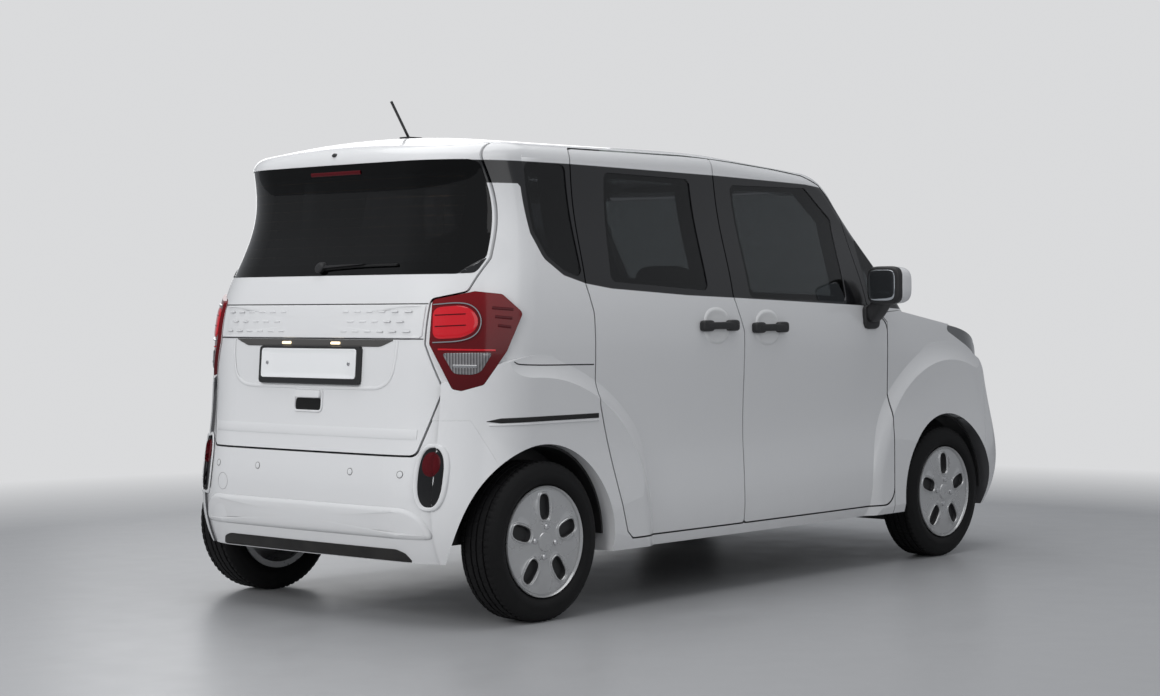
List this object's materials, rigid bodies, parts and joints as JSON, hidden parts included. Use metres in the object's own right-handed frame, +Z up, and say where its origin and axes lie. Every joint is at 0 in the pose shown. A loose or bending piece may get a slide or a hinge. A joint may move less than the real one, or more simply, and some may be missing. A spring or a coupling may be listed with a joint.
{
  "type": "small tall five-door car",
  "caption": "Small tall boxy five-door car with hinged front doors, one sliding rear door, lifting tailgate and bonnet, steered front wheels and wheel covers on steel rims",
  "frame": {"origin": "on the ground under the middle of the car", "axes": "+X forward, +Y left, +Z up"},
  "size_m": [3.5942, 1.906, 1.8396],
  "materials": {
    "white_paint": "gloss",
    "black_gloss": "gloss",
    "black_plastic": "matte",
    "dark_glass": "tinted",
    "tyre_rubber": "matte",
    "silver_cover": "satin silver",
    "red_lens": "clear red",
    "clear_lens": "clear",
    "steel_dark": "satin",
    "cast_alloy": "cast",
    "bright_steel": "satin",
    "dash_plastic": "grained",
    "seat_fabric": "woven"
  },
  "bodies": {
    "body": {"floor_pan": "steel_dark", "body_side_left": "white_paint", "body_side_right": "white_paint", "roof": "white_paint", "front_fenders": "white_paint", "front_bumper": "white_paint", "rear_bumper": "white_paint", "cowl": "black_plastic", "grille": "black_plastic", "headlamps": "clear_lens", "tail_lamps": "red_lens", "rear_reflectors": "red_lens", "windscreen": "dark_glass", "side_glass": "dark_glass", "wheel_liners": "black_plastic", "sliding_door": "white_paint", "sliding_door_glass": "dark_glass", "rear_axle": "steel_dark", "front_suspension": "steel_dark", "engine": "cast_alloy", "exhaust": "bright_steel", "fuel_tank": "black_plastic", "dashboard": "dash_plastic", "steering_column": "dash_plastic", "front_seats": "seat_fabric", "rear_seat": "seat_fabric", "antenna": "black_plastic", "sliding_door_handle": "black_gloss"},
    "door_front_right": {"door_front_right": "white_paint", "door_front_right_glass": "dark_glass", "front_right_handle": "black_gloss", "front_right_mirror": "black_gloss"},
    "door_front_left": {"door_front_left": "white_paint", "door_front_left_glass": "dark_glass", "front_left_handle": "black_gloss", "front_left_mirror": "black_gloss"},
    "door_rear_left": {"door_rear_left": "white_paint", "door_rear_left_glass": "dark_glass", "rear_left_handle": "black_gloss"},
    "tailgate": {"tailgate": "white_paint", "tailgate_glass": "dark_glass", "tailgate_fittings": "black_plastic"},
    "bonnet": {"bonnet": "white_paint"},
    "steering_wheel": {"steering_wheel": "dash_plastic"},
    "knuckle_left": {"knuckle_left": "steel_dark"},
    "knuckle_right": {"knuckle_right": "steel_dark"},
    "wheel_front_right": {"wheel_front_right": "silver_cover", "tyre_front_right": "tyre_rubber"},
    "wheel_front_left": {"wheel_front_left": "silver_cover", "tyre_front_left": "tyre_rubber"},
    "wheel_rear_right": {"wheel_rear_right": "silver_cover", "tyre_rear_right": "tyre_rubber"},
    "wheel_rear_left": {"wheel_rear_left": "silver_cover", "tyre_rear_left": "tyre_rubber"}
  },
  "joints": [
    {"name": "door_front_right_open", "type": "hinge", "parent": "body", "child": "door_front_right", "pos_m": [0.735, -0.7995, 0.6], "axis": [0, 0, 1], "range_deg": [0, 65]},
    {"name": "door_front_left_open", "type": "hinge", "parent": "body", "child": "door_front_left", "pos_m": [0.735, 0.7995, 0.6], "axis": [0, 0, -1], "range_deg": [0, 65]},
    {"name": "door_rear_left_open", "type": "hinge", "parent": "body", "child": "door_rear_left", "pos_m": [-0.25, 0.786, 0.6], "axis": [0, 0, -1], "range_deg": [0, 68]},
    {"name": "tailgate_open", "type": "hinge", "parent": "body", "child": "tailgate", "pos_m": [-1.437, 0, 1.694], "axis": [0, 1, 0], "range_deg": [0, 80]},
    {"name": "bonnet_open", "type": "hinge", "parent": "body", "child": "bonnet", "pos_m": [0.935, 0, 1.114], "axis": [0, -1, 0], "range_deg": [0, 50]},
    {"name": "steer_left", "type": "hinge", "parent": "body", "child": "knuckle_left", "pos_m": [1.1525, 0.64, 0.19], "axis": [0, -0.2237, 0.9747], "range_deg": [-35, 35]},
    {"name": "steer_right", "type": "hinge", "parent": "body", "child": "knuckle_right", "pos_m": [1.1525, -0.64, 0.19], "axis": [0, 0.2237, 0.9747], "range_deg": [-35, 35]},
    {"name": "steering_wheel_turn", "type": "hinge", "parent": "body", "child": "steering_wheel", "pos_m": [0.44, 0.35, 0.915], "axis": [-0.8988, 0, 0.4384], "range_deg": [-525, 525]},
    {"name": "wheel_front_right_spin", "type": "hinge", "parent": "knuckle_right", "child": "wheel_front_right", "pos_m": [1.1525, -0.696, 0.277], "axis": [0, 1, 0], "continuous": true},
    {"name": "wheel_rear_right_spin", "type": "hinge", "parent": "body", "child": "wheel_rear_right", "pos_m": [-1.3675, -0.696, 0.277], "axis": [0, 1, 0], "continuous": true},
    {"name": "wheel_front_left_spin", "type": "hinge", "parent": "knuckle_left", "child": "wheel_front_left", "pos_m": [1.1525, 0.696, 0.277], "axis": [0, 1, 0], "continuous": true},
    {"name": "wheel_rear_left_spin", "type": "hinge", "parent": "body", "child": "wheel_rear_left", "pos_m": [-1.3675, 0.696, 0.277], "axis": [0, 1, 0], "continuous": true}
  ],
  "couplings": [
    {"joint": "steer_right", "follows": "steer_left", "ratio": 1},
    {"joint": "steering_wheel_turn", "follows": "steer_left", "ratio": 15}
  ]
}
